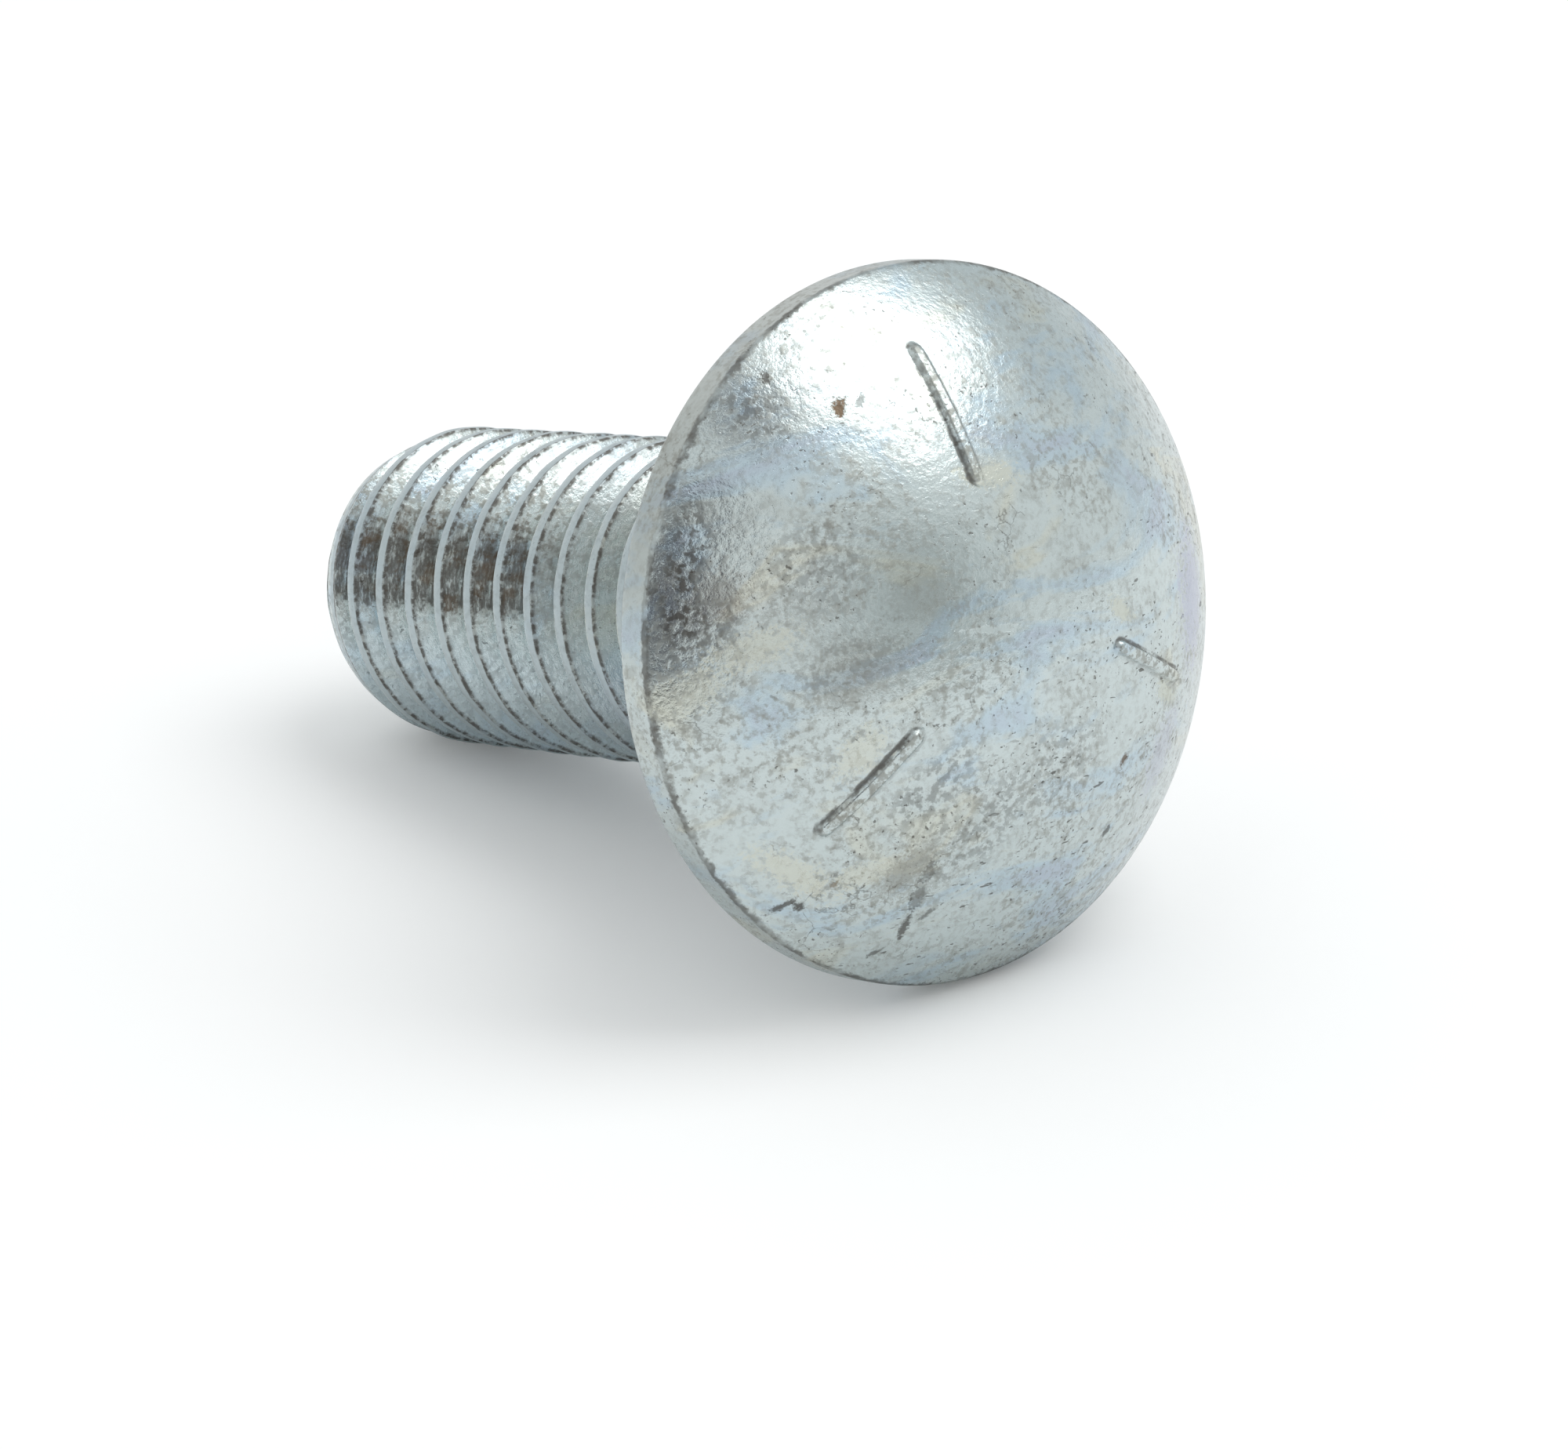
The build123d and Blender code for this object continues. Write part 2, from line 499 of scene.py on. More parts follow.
class NodeBench:
    """Short calls that add and wire the nodes of one tree."""

    def __init__(self, tree):
        self.tree = tree
        tree.nodes.clear()

    def add(self, kind, settings=None, **sockets):
        """A node with its settings, and a value or a link on each named socket."""
        node = self.tree.nodes.new(kind)
        for name, value in (settings or {}).items():
            setattr(node, name, value)
        for name, value in sockets.items():
            self.put(node.inputs[name.replace("_", " ")], value)
        return node

    def put(self, socket, value):
        """Links another node's socket, or sets a plain value."""
        if isinstance(value, bpy.types.NodeSocket):
            self.tree.links.new(value, socket)
        else:
            socket.default_value = value

    def math(self, operation, *values):
        """One step of arithmetic."""
        node = self.add("ShaderNodeMath", {"operation": operation})
        for socket, value in zip(node.inputs, values):
            self.put(socket, value)
        return node.outputs[0]

    def reach(self, vector):
        """How long a vector is."""
        return self.add("ShaderNodeVectorMath", {"operation": "LENGTH"}, Vector=vector).outputs["Value"]

    def step(self, value, low, high):
        """Smoothly from nought at low to one at high."""
        node = self.add("ShaderNodeMapRange", {"interpolation_type": "SMOOTHSTEP"})
        for name, setting in (("Value", value), ("From Min", low), ("From Max", high)):
            self.put(node.inputs[name], setting)
        return node.outputs["Result"]

    def noise(self, vector, scale, detail=2.0, roughness=0.5, distortion=0.0):
        """A noise value of about nought to one."""
        node = self.add(
            "ShaderNodeTexNoise",
            Vector=vector,
            Scale=scale,
            Detail=detail,
            Roughness=roughness,
            Distortion=distortion,
        )
        return node.outputs["Fac"]

    def mix(self, factor, first, second):
        """One colour laid over another; a mix node has its colour sockets after those for other kinds."""
        node = self.add("ShaderNodeMix", {"data_type": "RGBA"})
        self.put(node.inputs["Factor"], factor)
        self.put(node.inputs[6], first)
        self.put(node.inputs[7], second)
        return node.outputs[2]

    def ramp(self, factor, stops):
        """A colour ramp with stops at given places."""
        node = self.add("ShaderNodeValToRGB", Fac=factor)
        ramp = node.color_ramp
        while len(ramp.elements) < len(stops):
            ramp.elements.new(0.5)
        for element, (place, value) in zip(ramp.elements, stops):
            element.position = place
            element.color = rgba(value)
        return node.outputs["Color"]


def rgba(value):
    """A colour with full opacity."""
    return (*value, 1)


class ZincPlate:
    """Bright zinc plate with a thin coloured film, dull mottling, marks, settled grime and painted shade."""

    ROUGHNESS = 0.22
    BUMP = 0.02 * MM
    # Marks on the dome: radius and angle of the middle, half-length and half-width in millimetres,
    # lean of the length in degrees, colour and strength.
    MARKS = (
        (6.6, 112.0, 2.4, 1.6, 20, "silver", 0.65),
        (11.2, 161.0, 1.0, 0.7, 75, "rust", 0.28),
        (7.8, -160.0, 1.2, 0.8, 40, "cream", 0.55),
        (5.8, 94.0, 1.3, 0.5, -12, "cream", 0.7),
        (9.6, 100.5, 1.6, 0.5, -85, "cream", 0.4),
        (11.4, -144.0, 1.9, 0.55, -40, "cream", 0.65),
        (9.9, -133.0, 1.6, 0.5, 5, "cream", 0.6),
        (12.2, 178.0, 1.4, 0.8, 30, "cream", 0.6),
        (10.2, 170.5, 1.6, 0.7, 15, "cream", 0.6),
        (4.3, -3.0, 0.9, 0.4, -40, "cream", 0.6),
        (8.2, -30.0, 1.0, 0.45, -30, "cream", 0.6),
        # Painted shade with a violet tint: this patch by the right rim is widened and darkened to make that
        # side darker.
        (9.8, -7.0, 2.8, 1.3, 82, "lilac_and_shade", 0.9),
        (9.4, -42.0, 1.8, 1.0, 60, "lilac_and_shade", 0.5),
        # The next three marks are painted shade: darker grey patches on the dome, the third over a dent.
        (7.2, 177.5, 1.9, 1.2, 20, "dull_and_shade", 0.40),
        (5.0, 151.5, 1.5, 1.0, 0, "dull_and_shade", 0.30),
        (9.2, -126.0, 1.3, 0.8, 40, "dull_and_shade", 0.60),
        (9.0, -121.0, 0.55, 0.28, 75, "grime_and_shade", 0.45),
        (9.9, -119.0, 0.6, 0.3, 78, "grime_and_shade", 0.55),
        (11.0, -117.0, 0.6, 0.17, 82, "grime_and_shade", 0.8),
        (10.4, -114.5, 0.4, 0.14, 35, "grime_and_shade", 0.6),
        (12.3, -139.8, 0.42, 0.13, 30, "grime_and_shade", 0.8),
        (12.0, -137.8, 0.22, 0.18, -50, "grime_and_shade", 0.85),
        (12.1, -118.5, 0.3, 0.12, 25, "grime_and_shade", 0.7),
        (10.3, 117.8, 0.42, 0.24, 50, "rust", 0.95),
        (10.0, 113.5, 0.3, 0.12, 35, "grime_and_shade", 0.5),
        (7.2, -54.0, 0.34, 0.17, 55, "rust", 0.85),
        (9.3, -66.0, 0.26, 0.14, 40, "grime_and_shade", 0.7),
        (10.9, -137.0, 0.2, 0.16, 0, "rust", 0.6),
        (12.3, 121.5, 0.3, 0.18, 30, "grime_and_shade", 0.8),
        (2.1, 163.0, 1.15, 0.16, -10, "silver", 0.6),
    )
    # Patches where dark specks crowd together: place, half-sizes and lean as above, and strength.
    CROWDED = (
        (12.0, 128.5, 1.3, 1.1, 40, 0.65),
        (12.3, 152.0, 1.9, 0.7, 62, 0.70),
        (12.3, 163.0, 2.0, 0.8, 75, 0.85),
        (11.4, 168.0, 1.6, 0.8, 60, 0.50),
        (7.4, 176.0, 2.2, 1.3, 15, 0.40),
        (6.6, -136.0, 2.2, 1.4, 40, 0.45),
        (7.5, -115.0, 2.4, 1.6, 30, 0.40),
        (5.0, -85.0, 2.6, 1.8, 20, 0.35),
        (8.5, 150.0, 2.2, 1.6, 60, 0.35),
    )
    # A painted dark reflection across the flanks, with brown flecks in it: its angle round the thread and
    # how it fades to either side.
    PAINTED_REFLECTION_ANGLE = 157.0
    PAINTED_REFLECTION_ABOVE = (-26.0, -6.0)
    PAINTED_REFLECTION_BELOW = (18.0, 14.0)
    PAINTED_REFLECTION_FADE = (-12.5, -17.0)
    # Above the painted dark band the flanks are speckled, between these angles from it.
    SPECKLED_ABOVE = (-48.0, -30.0)
    SPECKLED_BELOW = (5.0, -10.0)
    # Streaks on the flanks: how close they lie round the thread, per millimetre, and across it, per pitch.
    STREAK_ALONG = 0.9
    STREAK_ACROSS = 14.0
    # A mark narrower than this half-width goes through the plating: it is rougher and sunk.
    BROKEN_WIDTH = 0.5

    def __init__(self, tree, finish, sizes):
        self.n = NodeBench(tree)
        self.finish = finish
        self.sizes = sizes
        place = bolt_frame()
        coords = self.n.add("ShaderNodeTexCoord").outputs["Object"]
        own = self.n.add(
            "ShaderNodeMapping",
            {"vector_type": "TEXTURE"},
            Vector=coords,
            Location=place.to_translation(),
            Rotation=place.to_euler(),
            Scale=(MM, MM, MM),
        )
        self.own = own.outputs["Vector"]
        parts = self.n.add("ShaderNodeSeparateXYZ", Vector=self.own)
        self.x, self.y, self.z = parts.outputs
        self.plan = self.n.add("ShaderNodeCombineXYZ", X=self.x, Y=self.y).outputs["Vector"]
        self.on_dome = self.n.math("GREATER_THAN", self.z, sizes.rim_height / MM)
        self.fine = self.n.noise(self.own, 3.6, 3, 0.6)
        self.cloud = self.n.noise(self.own, 0.9, 4, 0.62)
        self.grain = self.n.noise(self.own, 9.0, 2, 0.6)
        self.tint = None
        self.rough = self.ROUGHNESS
        self.height = 0.0

    def lay(self, mask, amount, colour, rougher=0.0, raised=0.0):
        """Lays a colour over the plate where a mask says, and roughens, raises or sinks it there."""
        n = self.n
        cover = n.math("MULTIPLY", mask, amount)
        self.tint = n.mix(cover, self.tint, rgba(colour))
        if rougher:
            self.rough = n.math("ADD", self.rough, n.math("MULTIPLY", mask, rougher))
        if raised:
            self.height = n.math("ADD", self.height, n.math("MULTIPLY", mask, raised))

    def both(self, *masks):
        """Where all of several masks hold."""
        held = masks[0]
        for mask in masks[1:]:
            held = self.n.math("MULTIPLY", held, mask)
        return held

    def swing(self, value, reach):
        """A noise value spread evenly to either side of nought."""
        return self.n.math("MULTIPLY", self.n.math("SUBTRACT", value, 0.5), reach)

    def stretched(self, turn, scale):
        """The bolt's coordinates, turned about its axis and drawn out."""
        node = self.n.add(
            "ShaderNodeMapping", Vector=self.own, Rotation=(0, 0, math.radians(turn)), Scale=scale
        )
        return node.outputs["Vector"]

    def placed(self, radius, turn, lean, scale=(1, 1, 1)):
        """Plan coordinates about a place on the dome, with their first axis along a lean."""
        node = self.n.add(
            "ShaderNodeMapping",
            {"vector_type": "TEXTURE"},
            Vector=self.plan,
            Location=(*on_plan(radius, turn), 0),
            Rotation=(0, 0, math.radians(lean)),
            Scale=scale,
        )
        return node.outputs["Vector"]

    def film(self):
        """Slow drifts of colour in the thin film, in slanting bands."""
        f = self.finish
        drift = self.n.noise(self.stretched(-25, (0.13, 0.34, 0.2)), 1.0, 4, 0.6, 0.7)
        stops = (
            (0.30, Vector(f.blue).lerp(f.lilac_and_shade, 0.5)),
            (0.41, f.blue),
            (0.48, f.silver),
            (0.58, f.silver),
            (0.66, Vector(f.silver).lerp(f.cream, 0.7)),
            (0.76, f.silver),
        )
        self.tint = self.n.ramp(drift, stops)

    def dulled(self):
        """Fine dull mottling, thicker in some places than in others."""
        n = self.n
        thick = n.step(n.noise(self.own, 0.22, 3, 0.6), 0.36, 0.62)
        thick = n.math("MULTIPLY_ADD", thick, 0.7, 0.3)
        self.lay(self.both(n.step(self.fine, 0.49, 0.65), thick), 0.55, self.finish.dull_and_shade, rougher=0.10)
        blotch = n.step(n.noise(self.own, 2.2, 4, 0.65, 0.4), 0.50, 0.64)
        self.lay(self.both(blotch, thick), 0.45, self.finish.dull_and_shade, rougher=0.06)
        self.lay(n.step(self.cloud, 0.44, 0.74), 0.22, self.finish.dull_and_shade, rougher=0.05)

    def pitted(self):
        """Small pits, short specks that all lean one way, and a few hair cracks."""
        n, grime_and_shade = self.n, self.finish.grime_and_shade
        some = n.step(n.noise(self.own, 0.30, 2, 0.5), 0.42, 0.60)
        pits = n.step(n.noise(self.own, 5.6, 2, 0.5), 0.655, 0.70)
        self.lay(self.both(pits, some), 0.7, grime_and_shade, rougher=0.2, raised=-0.4)
        leaning = n.step(n.noise(self.stretched(62, (1.2, 4.0, 2.4)), 1.4, 2, 0.5, 0.3), 0.675, 0.71)
        low = n.step(n.math("SUBTRACT", self.x, self.y), 0.0, 6.0)
        low = n.math("MULTIPLY_ADD", low, 0.75, 0.25)
        self.lay(self.both(leaning, low), 0.7, grime_and_shade, rougher=0.2, raised=-0.4)
        swirl = n.add("ShaderNodeTexNoise", Vector=self.own, Scale=1.4, Detail=4.0)
        warped = n.add("ShaderNodeVectorMath", {"operation": "ADD"}, Vector=self.own)
        n.put(warped.inputs[1], swirl.outputs["Color"])
        cells = n.add(
            "ShaderNodeTexVoronoi",
            {"feature": "DISTANCE_TO_EDGE"},
            Vector=warped.outputs["Vector"],
            Scale=0.42,
        )
        hair = n.step(cells.outputs["Distance"], 0.010, 0.004)
        rare = n.step(n.noise(self.own, 0.42, 2, 0.5), 0.56, 0.64)
        self.lay(self.both(hair, rare), 0.45, grime_and_shade, rougher=0.1)

    def marked(self):
        """Halos, stains, scratches, brown specks and patches of painted shade at their own places on the
        dome.
        """
        n = self.n
        ragged = n.math("ADD", self.swing(self.fine, 1.6), self.swing(self.cloud, 1.0))
        ragged = n.math("ADD", ragged, self.swing(self.grain, 1.6))
        for radius, turn, long, wide, lean, tint, strength in self.MARKS:
            place = self.placed(radius, turn, lean, (long, wide, 1))
            reach = n.reach(place)
            mask = n.step(n.math("ADD", reach, ragged), 1.15, 0.45)
            broken = wide < self.BROKEN_WIDTH
            self.lay(
                self.both(mask, self.on_dome),
                strength,
                getattr(self.finish, tint),
                rougher=0.2 if broken else 0.0,
                raised=-0.5 if broken else 0.0,
            )

    def crowded(self):
        """Dark specks that crowd together in patches."""
        n = self.n
        specks = n.step(n.noise(self.own, 3.0, 3, 0.6), 0.45, 0.58)
        for radius, turn, long, wide, lean, strength in self.CROWDED:
            place = self.placed(radius, turn, lean, (long, wide, 1))
            reach = n.reach(place)
            mask = n.step(n.math("ADD", reach, self.swing(self.cloud, 1.2)), 1.3, 0.3)
            self.lay(self.both(mask, specks, self.on_dome), strength, self.finish.grime_and_shade, rougher=0.1)

    def ribbed(self):
        """Grime and painted shade along the foot of each raised rib, darker on its shaded side, and a grainy
        top.
        """
        n = self.n
        nearest = None
        shaded_side = None
        for ends in HeadForm.RIBS:
            first, last = (on_plan(*place) for place in ends)
            middle = (first + last) / 2
            along = last - first
            turn = math.degrees(math.atan2(middle.y, middle.x))
            lean = math.degrees(math.atan2(along.y, along.x))
            place = self.placed(middle.length, turn, lean)
            parts = n.add("ShaderNodeSeparateXYZ", Vector=place)
            past = n.math("SUBTRACT", n.math("ABSOLUTE", parts.outputs["X"]), along.length / 2)
            corner = n.add("ShaderNodeCombineXYZ", X=n.math("MAXIMUM", past, 0.0), Y=parts.outputs["Y"])
            reach = n.reach(corner.outputs["Vector"])
            side = self.both(n.step(parts.outputs["Y"], 0.0, 0.2), n.math("LESS_THAN", reach, 1.0))
            nearest = reach if nearest is None else n.math("MINIMUM", nearest, reach)
            shaded_side = side if shaded_side is None else n.math("MAXIMUM", shaded_side, side)
        foot = self.sizes.rib_width / MM / 2
        nearest = n.math("ADD", nearest, self.swing(self.fine, 0.16))
        off = n.math("ABSOLUTE", n.math("SUBTRACT", nearest, foot))
        patchy = n.step(n.noise(self.own, 1.3, 3, 0.6), 0.34, 0.56)
        patchy = self.both(patchy, n.math("MULTIPLY_ADD", shaded_side, 0.65, 0.35))
        # Painted shade with grime: darker along each rib's foot, more on its shaded side.
        foot_grime_and_shade = self.both(n.step(off, 0.13, 0.04), patchy, self.on_dome)
        self.lay(foot_grime_and_shade, 0.80, self.finish.grime_and_shade, rougher=0.2)
        grainy = self.both(n.step(nearest, foot, foot / 2), n.step(self.fine, 0.44, 0.56), self.on_dome)
        self.lay(grainy, 0.6, self.finish.dull_and_shade, rougher=0.15)

    def rim_line(self):
        """A dull rim, with grime along the line where it meets the dome."""
        n = self.n
        line = self.sizes.rim_height / MM
        outer = (self.sizes.head_diameter / 2 - self.sizes.rim_edge * 2) / MM
        out = n.reach(self.plan)
        near_rim = n.math("GREATER_THAN", out, outer)
        height = n.math("ADD", self.z, self.swing(n.noise(self.own, 2.6, 5, 0.7), 0.55))
        upper = n.math("MULTIPLY_ADD", n.step(self.y, 0.0, outer * 0.6), 0.85, 0.15)
        below = n.step(height, line, line * 0.9)
        self.lay(self.both(below, near_rim, upper), 0.5, self.finish.dull_and_shade, rougher=0.1)
        off = n.math("ABSOLUTE", n.math("SUBTRACT", height, line))
        patchy = n.math("MULTIPLY_ADD", n.step(n.noise(self.own, 0.8, 3, 0.6), 0.36, 0.58), 0.6, 0.4)
        self.lay(self.both(n.step(off, 0.20, 0.06), near_rim, patchy), 0.75, self.finish.grime_and_shade, rougher=0.15)

    def thread(self):
        """Along the thread: smooth crests with a ragged edge, a painted dark reflection across the flanks
        with brown flecks in it, and painted shade on the flanks nearest the head.
        """
        n, s, f = self.n, self.sizes, self.finish
        turn = n.math("DIVIDE", n.math("ARCTAN2", self.y, self.x), TURN)
        phase = n.math("SUBTRACT", n.math("DIVIDE", self.z, s.pitch / MM), turn)
        phase = n.math("ADD", phase, s.thread_start / s.pitch)
        phase = n.math("SUBTRACT", phase, n.math("ROUND", phase))
        start = -(s.neck_depth + s.body_length) / MM
        shape = ShankForm(s)
        out = n.reach(self.plan)
        off_end = n.step(out, shape.end_radius() / MM, shape.root / MM)
        threaded = self.both(n.step(self.z, start, start - s.runout / MM / 2), off_end)
        crest = ShankForm.CREST_SHARE
        across = n.math("ADD", phase, self.swing(n.noise(self.own, 2.8, 5, 0.75), 0.07))
        flank = self.both(n.step(across, crest, crest * 1.25), threaded)

        drawn = n.add(
            "ShaderNodeCombineXYZ",
            X=n.math("MULTIPLY", self.x, self.STREAK_ALONG),
            Y=n.math("MULTIPLY", self.y, self.STREAK_ALONG),
            Z=n.math("MULTIPLY", phase, self.STREAK_ACROSS),
        )
        streak = n.noise(drawn.outputs["Vector"], 1.5, 5, 0.7)
        self.height = n.math("ADD", self.height, n.math("MULTIPLY", self.both(streak, flank), 0.9))
        self.lay(self.both(n.step(streak, 0.52, 0.66), flank), 0.35, f.dull_and_shade, rougher=0.1)

        smooth = n.step(n.math("ABSOLUTE", across), crest, crest * 0.8)
        self.lay(self.both(smooth, threaded), 0.8, Vector(f.blue).lerp(f.dull_and_shade, 0.4), rougher=0.12)

        aim = math.radians(self.PAINTED_REFLECTION_ANGLE)
        turned = n.add("ShaderNodeMapping", Vector=self.plan, Rotation=(0, 0, -aim))
        ahead = n.add("ShaderNodeSeparateXYZ", Vector=turned.outputs["Vector"])
        off = n.math("DEGREES", n.math("ARCTAN2", ahead.outputs["Y"], ahead.outputs["X"]))
        speckled = self.both(n.step(off, *self.SPECKLED_ABOVE), n.step(off, *self.SPECKLED_BELOW), flank)
        self.lay(self.both(speckled, n.step(self.fine, 0.48, 0.58)), 0.6, f.dull_and_shade, rougher=0.1)
        off = n.math("ADD", off, n.math("ADD", self.swing(streak, 16.0), self.swing(self.fine, 16.0)))
        # Painted reflection: a dark band across the flanks at one angle round the thread, fading towards the
        # head, with brown flecks.
        reflection_band = self.both(n.step(off, *self.PAINTED_REFLECTION_ABOVE), n.step(off, *self.PAINTED_REFLECTION_BELOW))
        reflection_band = self.both(reflection_band, flank, n.step(self.z, *self.PAINTED_REFLECTION_FADE))
        self.lay(self.both(reflection_band, n.step(streak, 0.30, 0.54)), 0.84, f.grime_and_shade, rougher=0.12)
        self.lay(self.both(reflection_band, n.step(self.cloud, 0.50, 0.62)), 0.5, f.rust)
        below = self.both(n.step(off, self.PAINTED_REFLECTION_BELOW[1], self.PAINTED_REFLECTION_BELOW[0] * 2), flank)
        self.lay(below, 0.45, f.blue)
        # Painted shade: the flanks nearest the head are laid darker.
        shade_by_head = self.both(n.step(self.z, *reversed(self.PAINTED_REFLECTION_FADE)), flank)
        self.lay(shade_by_head, 0.55, Vector(f.blue).lerp(f.dull_and_shade, 0.6))

        edge = n.math("ABSOLUTE", n.math("SUBTRACT", across, crest))
        broken = n.math("MULTIPLY_ADD", n.step(self.fine, 0.40, 0.56), 0.6, 0.4)
        self.lay(self.both(n.step(edge, 0.044, 0.012), broken, threaded), 0.85, f.grime_and_shade, rougher=0.2)

    def finish_tree(self):
        """The layers in order, on a metal shader."""
        n = self.n
        self.film()
        self.dulled()
        self.pitted()
        self.crowded()
        self.marked()
        self.ribbed()
        self.rim_line()
        self.thread()
        grain = n.math("ADD", self.height, n.math("MULTIPLY", self.fine, 1.1))
        grain = n.math("ADD", grain, n.math("MULTIPLY", n.noise(self.own, 1.6, 4, 0.6), 0.7))
        bump = n.add("ShaderNodeBump", Strength=1.0, Distance=self.BUMP, Height=grain)
        shader = n.add("ShaderNodeBsdfPrincipled", Base_Color=self.tint, Metallic=1.0, Roughness=self.rough)
        n.put(shader.inputs["Normal"], bump.outputs["Normal"])
        n.add("ShaderNodeOutputMaterial", Surface=shader.outputs["BSDF"])


def zinc_material(finish, sizes):
    """The plating as a node material."""
    material = bpy.data.materials.new("zinc_plate_scuffed")
    material.use_nodes = True
    ZincPlate(material.node_tree, finish, sizes).finish_tree()
    return material


class BOLT_OT_add_bolt(bpy.types.Operator):
    """Model the bolt over its CAD node and plate it"""

    bl_idname = "object.add_plated_bolt"
    bl_label = "Add Plated Bolt"

    def execute(self, context):
        sizes = context.scene.bolt_sizes
        piece = bpy.data.objects.new(PIECE, bolt_mesh(sizes))
        context.scene.collection.objects.link(piece)
        piece.data.materials.append(zinc_material(context.scene.bolt_finish, sizes))
        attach(piece, "root")
        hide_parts(NODE)
        return {"FINISHED"}


PHOTO_SIZE = (2000, 1848)
FOCAL_PIXELS = 8000
HEAD_PIXEL = (1158.6, 792.9)
SENSOR = 36.0
CLIP_START = 0.01
FLOOR_HALF = 3.0
# What the camera alone sees on top of the lit floor, to bring it up to white.
FLOOR_LIFT = 0.08
WHITE = (1, 1, 1)
TENT = (0.84, 0.86, 0.86)
# Angles in degrees, lengths in metres.
SOFT_BOX = {"azimuth": 145, "elevation": 64, "distance": 0.6, "size": 0.4, "radiance": 2.2}


def look(azimuth, elevation):
    """The direction from the bolt to a place at an azimuth and an elevation."""
    level = math.cos(elevation)
    return Vector((math.sin(azimuth) * level, -math.cos(azimuth) * level, math.sin(elevation)))


def add_camera(scene, light):
    """The camera at the photograph's angle, with the head where the photograph has it."""
    data = bpy.data.cameras.new("camera")
    data.sensor_width = SENSOR
    data.lens = SENSOR * FOCAL_PIXELS / PHOTO_SIZE[0]
    data.clip_start = CLIP_START
    camera = bpy.data.objects.new("camera", data)
    scene.collection.objects.link(camera)
    turn = look(light.azimuth, light.elevation).to_track_quat("Z", "Y")
    aside = (HEAD_PIXEL[0] - PHOTO_SIZE[0] / 2) / FOCAL_PIXELS
    above = (PHOTO_SIZE[1] / 2 - HEAD_PIXEL[1]) / FOCAL_PIXELS
    head = Vector((aside, above, -1)) * light.distance
    camera.rotation_mode = "QUATERNION"
    camera.rotation_quaternion = turn
    camera.location = bolt_frame().to_translation() - turn @ head
    scene.camera = camera


def add_floor(scene, light):
    """A wide pale floor under the bolt."""
    bm = bmesh.new()
    bmesh.ops.create_grid(bm, x_segments=1, y_segments=1, size=FLOOR_HALF)
    mesh = bpy.data.meshes.new("floor")
    bm.to_mesh(mesh)
    bm.free()
    floor = bpy.data.objects.new("floor", mesh)
    scene.collection.objects.link(floor)
    material = bpy.data.materials.new("pale_floor")
    material.use_nodes = True
    n = NodeBench(material.node_tree)
    lit = n.add("ShaderNodeBsdfDiffuse", Color=rgba(light.floor))
    seen = n.add("ShaderNodeLightPath").outputs["Is Camera Ray"]
    lift = n.add("ShaderNodeEmission", Strength=n.math("MULTIPLY", seen, FLOOR_LIFT))
    both = n.add("ShaderNodeAddShader")
    n.put(both.inputs[0], lit.outputs["BSDF"])
    n.put(both.inputs[1], lift.outputs["Emission"])
    n.add("ShaderNodeOutputMaterial", Surface=both.outputs["Shader"])
    mesh.materials.append(material)


# Parts of the tent that differ: azimuth, elevation, inner and outer half-width in degrees, and colour.
SURROUNDINGS = (
    (-112, 14, 12, 42, (1.0, 1.0, 1.0)),
    (-165, 36, 8, 36, (0.66, 0.70, 0.72)),
    (97, 16, 6, 28, (0.54, 0.57, 0.57)),
    (66, 24, 2, 9, (0.45, 0.42, 0.40)),
    (55, 29, 4, 11, (1.0, 1.0, 0.98)),
    (42, 22, 2, 7, (0.26, 0.15, 0.12)),
    (30, 10, 6, 13, (0.04, 0.04, 0.05)),
    (31, 24, 6, 13, (0.04, 0.03, 0.05)),
    (34, 39, 5, 12, (0.06, 0.06, 0.07)),
    (54, 71, 4, 12, (0.12, 0.13, 0.16)),
)


def add_world(scene):
    """A white tent with a darker opening on the camera's side."""
    world = bpy.data.worlds.new("tent")
    scene.world = world
    world.use_nodes = True
    n = NodeBench(world.node_tree)
    direction = n.add("ShaderNodeTexCoord").outputs["Generated"]
    tent = rgba(TENT)
    for azimuth, elevation, inner, outer, level in SURROUNDINGS:
        towards = look(math.radians(azimuth), math.radians(elevation))
        facing = n.add("ShaderNodeVectorMath", {"operation": "DOT_PRODUCT"}, Vector=direction)
        facing.inputs[1].default_value = towards
        inside = n.step(
            facing.outputs["Value"], math.cos(math.radians(outer)), math.cos(math.radians(inner))
        )
        tent = n.mix(inside, tent, rgba(level))
    seen = n.add("ShaderNodeLightPath").outputs["Is Camera Ray"]
    shown = n.mix(seen, tent, rgba(WHITE))
    background = n.add("ShaderNodeBackground", Color=shown, Strength=1.0)
    n.add("ShaderNodeOutputWorld", Surface=background.outputs["Background"])


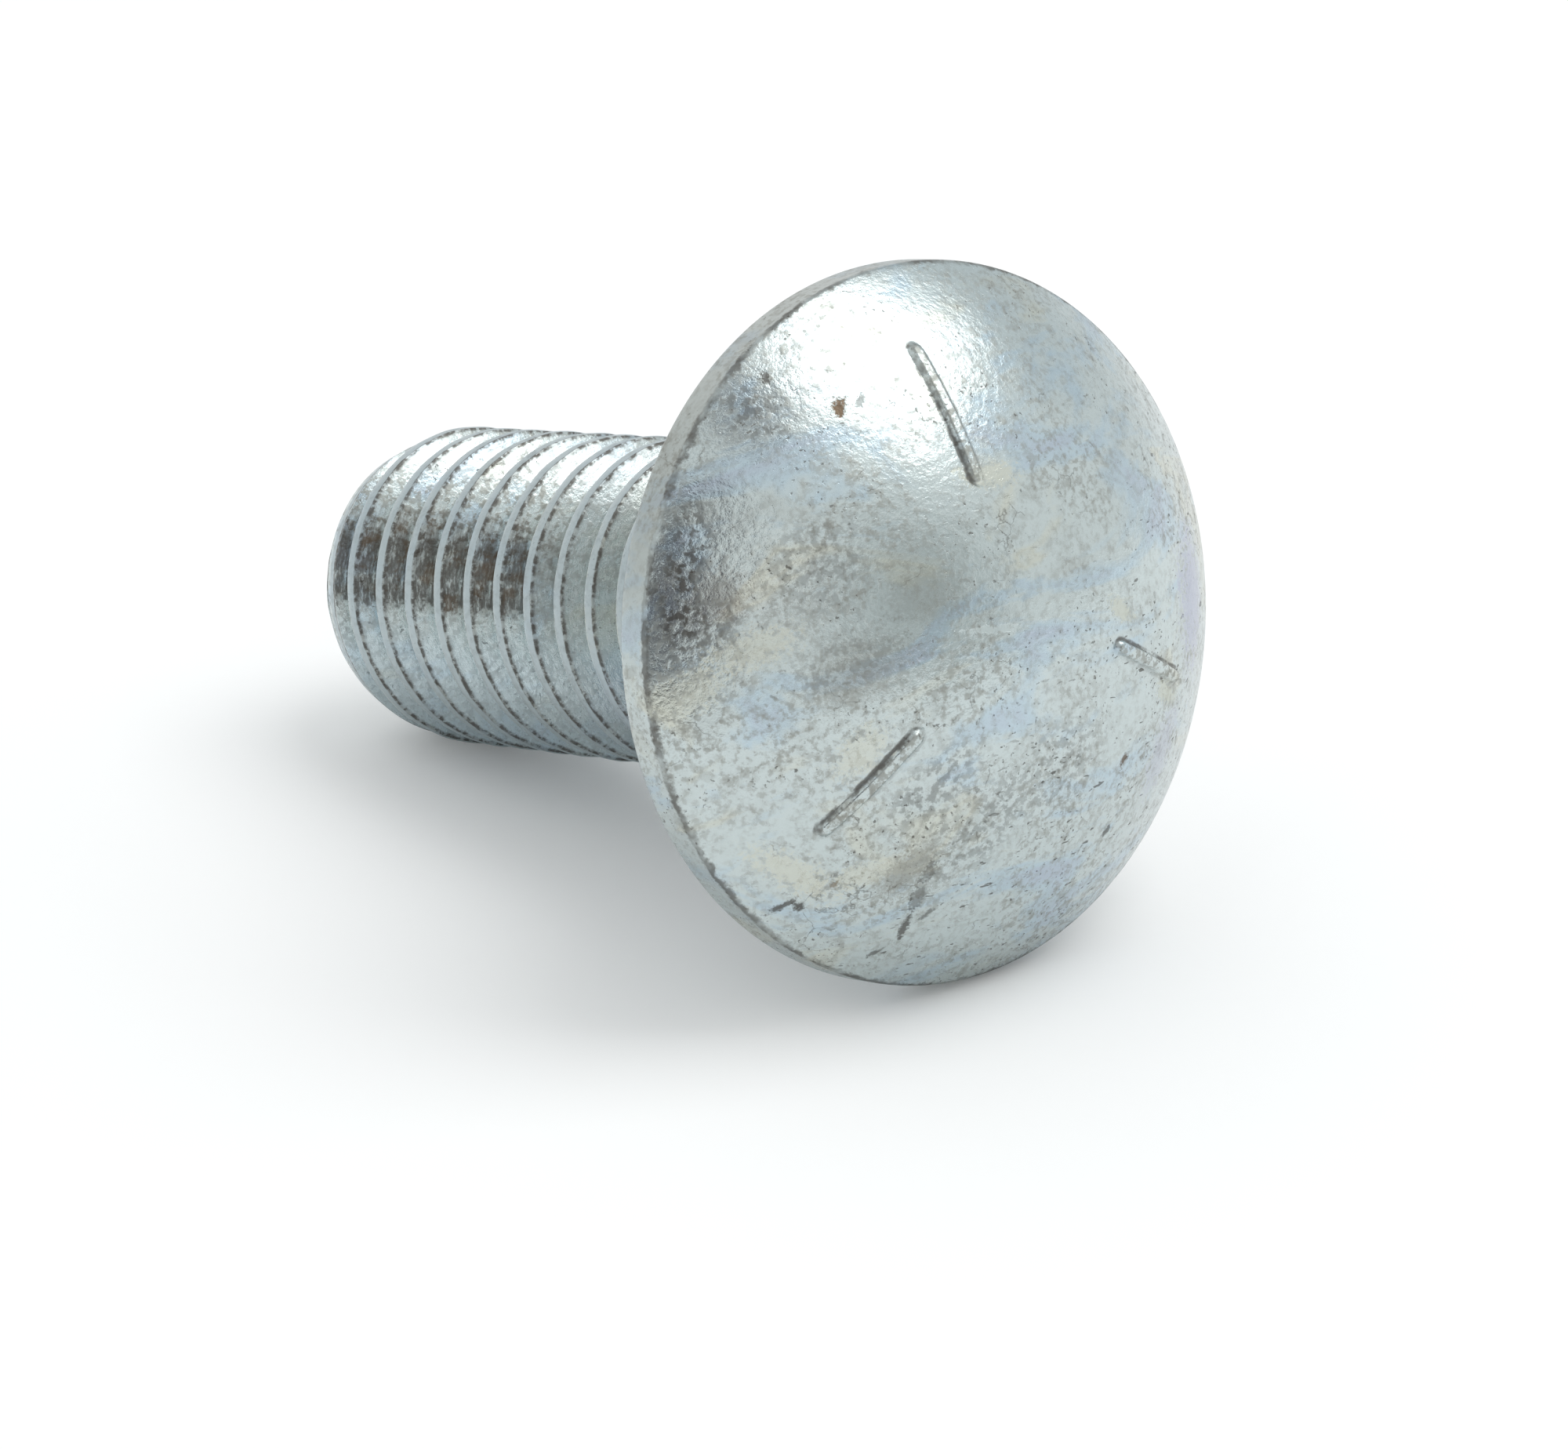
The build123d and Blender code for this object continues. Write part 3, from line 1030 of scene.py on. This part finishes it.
def add_lamp(scene, name, azimuth, elevation, distance, size, radiance):
    """A square soft box that faces the bolt."""
    data = bpy.data.lights.new(name, "AREA")
    data.size = size
    data.energy = radiance * math.pi * size**2
    lamp = bpy.data.objects.new(name, data)
    scene.collection.objects.link(lamp)
    away = look(math.radians(azimuth), math.radians(elevation))
    lamp.location = away * distance
    lamp.rotation_mode = "QUATERNION"
    lamp.rotation_quaternion = away.to_track_quat("Z", "Y")


class BOLT_OT_set_studio(bpy.types.Operator):
    """Add the floor, the light and the camera"""

    bl_idname = "scene.set_bolt_studio"
    bl_label = "Set Bolt Studio"

    def execute(self, context):
        scene = context.scene
        light = scene.bolt_light
        scene.view_settings.view_transform = "Standard"
        add_floor(scene, light)
        add_world(scene)
        add_lamp(scene, "soft_box_high", **SOFT_BOX)
        add_camera(scene, light)
        return {"FINISHED"}


class BOLT_PT_sidebar(bpy.types.Panel):
    """The bolt's sizes, finish and studio"""

    bl_label = "Carriage Bolt"
    bl_space_type = "VIEW_3D"
    bl_region_type = "UI"
    bl_category = "Bolt"

    def draw(self, context):
        for group in (context.scene.bolt_sizes, context.scene.bolt_finish, context.scene.bolt_light):
            box = self.layout.box()
            for name in group.__annotations__:
                box.prop(group, name)
        self.layout.operator(BOLT_OT_add_bolt.bl_idname)
        self.layout.operator(BOLT_OT_set_studio.bl_idname)


CLASSES = (BoltSizes, ZincFinish, StudioLight, BOLT_OT_add_bolt, BOLT_OT_set_studio, BOLT_PT_sidebar)


def register():
    """Makes the classes and the scene's settings known."""
    for cls in CLASSES:
        bpy.utils.register_class(cls)
    bpy.types.Scene.bolt_sizes = PointerProperty(type=BoltSizes)
    bpy.types.Scene.bolt_finish = PointerProperty(type=ZincFinish)
    bpy.types.Scene.bolt_light = PointerProperty(type=StudioLight)


def unregister():
    """Takes them away again."""
    del bpy.types.Scene.bolt_light
    del bpy.types.Scene.bolt_finish
    del bpy.types.Scene.bolt_sizes
    for cls in reversed(CLASSES):
        bpy.utils.unregister_class(cls)


def main():
    """Adds the bolt, then its studio."""
    register()
    bpy.ops.object.add_plated_bolt()
    bpy.ops.scene.set_bolt_studio()


if __name__ == "__main__":
    main()
